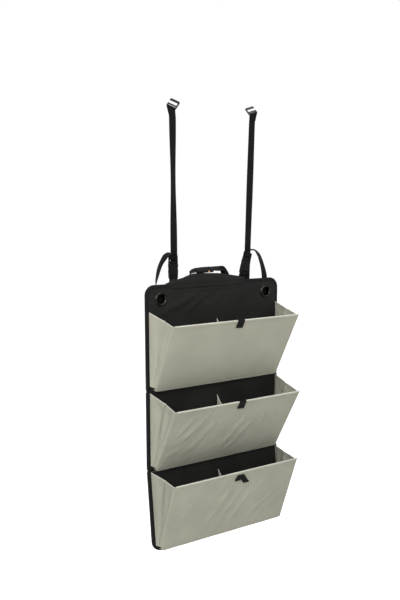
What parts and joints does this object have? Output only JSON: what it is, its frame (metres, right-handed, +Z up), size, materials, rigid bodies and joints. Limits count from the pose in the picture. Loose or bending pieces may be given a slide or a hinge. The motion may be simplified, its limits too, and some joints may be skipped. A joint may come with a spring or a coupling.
{
  "type": "camping organizer",
  "caption": "Hanging folding camping organizer: stiffened back sections with angled open pockets, webbing hanging straps with hooks, side-release buckles, eyelets and a carry handle.",
  "frame": {"origin": "midway between the two strap hooks, in the plane of the hanging straps", "axes": "+Z up, +X to the right seen from the front, +Y to the back, so the pockets face -Y"},
  "size_m": [0.518, 0.1706, 1.379],
  "materials": {
    "black_fabric": "matte",
    "black_binding": "matte",
    "grey_fabric": "matte",
    "light_hem": "matte",
    "webbing": "matte",
    "buckle_plastic": "satin",
    "hook_metal": "satin",
    "eyelet_metal": "satin",
    "stiffener_board": "matte",
    "tan_stud": "satin"
  },
  "bodies": {
    "upper_section": {"upper_front_skin": "black_fabric", "upper_stiffener": "stiffener_board", "upper_back_skin": "black_fabric", "upper_edge_binding": "black_binding", "handle_flap": "black_fabric", "carry_handle": "webbing", "handle_grip_wrap": "webbing", "handle_stud": "tan_stud", "left_hanging_strap": "webbing", "right_hanging_strap": "webbing", "left_strap_hook": "hook_metal", "right_strap_hook": "hook_metal", "left_eyelet": "eyelet_metal", "right_eyelet": "eyelet_metal", "left_eyelet_washer": "eyelet_metal", "right_eyelet_washer": "eyelet_metal", "left_buckle_anchor_strap": "webbing", "right_buckle_anchor_strap": "webbing", "left_buckle_socket": "buckle_plastic", "right_buckle_socket": "buckle_plastic", "left_closing_strap": "webbing", "right_closing_strap": "webbing", "upper_pocket_floor": "grey_fabric", "upper_left_gusset": "grey_fabric", "upper_right_gusset": "grey_fabric", "upper_divider": "grey_fabric", "upper_fold_strip": "black_fabric"},
    "middle_section": {"middle_front_skin": "black_fabric", "middle_stiffener": "stiffener_board", "middle_back_skin": "black_fabric", "middle_left_binding": "black_binding", "middle_right_binding": "black_binding", "middle_pocket_floor": "grey_fabric", "middle_left_gusset": "grey_fabric", "middle_right_gusset": "grey_fabric", "middle_divider": "grey_fabric", "lower_fold_strip": "black_fabric"},
    "lower_section": {"lower_front_skin": "black_fabric", "lower_stiffener": "stiffener_board", "lower_back_skin": "black_fabric", "lower_edge_binding": "black_binding", "lower_pocket_floor": "grey_fabric", "lower_left_gusset": "grey_fabric", "lower_right_gusset": "grey_fabric", "lower_divider": "grey_fabric"},
    "upper_pocket": {"upper_pocket_front": "grey_fabric", "upper_pocket_stiffener": "stiffener_board", "upper_pocket_hem": "light_hem", "upper_pull_tab": "webbing"},
    "middle_pocket": {"middle_pocket_front": "grey_fabric", "middle_pocket_stiffener": "stiffener_board", "middle_pocket_hem": "light_hem", "middle_pull_tab": "webbing"},
    "lower_pocket": {"lower_pocket_front": "grey_fabric", "lower_pocket_stiffener": "stiffener_board", "lower_pocket_hem": "light_hem", "lower_pull_tab": "webbing"},
    "left_buckle_plug_body": {"left_buckle_plug": "buckle_plastic"},
    "right_buckle_plug_body": {"right_buckle_plug": "buckle_plastic"}
  },
  "joints": [
    {"name": "middle_section_fold", "type": "hinge", "parent": "upper_section", "child": "middle_section", "pos_m": [0, -0.016, -0.865], "axis": [-1, 0, 0], "range_deg": [0, 66], "deforming": ["upper_fold_strip"]},
    {"name": "lower_section_fold", "type": "hinge", "parent": "middle_section", "child": "lower_section", "pos_m": [0, -0.0024, -1.113], "axis": [-1, 0, 0], "range_deg": [-182, 26], "deforming": ["lower_fold_strip"]},
    {"name": "upper_pocket_close", "type": "hinge", "parent": "upper_section", "child": "upper_pocket", "pos_m": [0, -0.0322, -0.86], "axis": [-1, 0, 0], "range_deg": [0, 30], "deforming": ["upper_left_gusset", "upper_right_gusset", "upper_divider"]},
    {"name": "middle_pocket_close", "type": "hinge", "parent": "middle_section", "child": "middle_pocket", "pos_m": [0, -0.0322, -1.108], "axis": [-1, 0, 0], "range_deg": [0, 32], "deforming": ["middle_left_gusset", "middle_right_gusset", "middle_divider"]},
    {"name": "lower_pocket_close", "type": "hinge", "parent": "lower_section", "child": "lower_pocket", "pos_m": [0, -0.05744, -1.35155], "axis": [-1, 0, 0], "range_deg": [0, 28.5], "deforming": ["lower_left_gusset", "lower_right_gusset", "lower_divider"]},
    {"name": "left_buckle_release", "type": "slide", "parent": "upper_section", "child": "left_buckle_plug_body", "axis": [0, 0, 1], "range_m": [0, 0.026], "deforming": ["left_closing_strap"]},
    {"name": "right_buckle_release", "type": "slide", "parent": "upper_section", "child": "right_buckle_plug_body", "axis": [0.2924, 0, 0.9563], "range_m": [0, 0.026], "deforming": ["right_closing_strap"]}
  ]
}
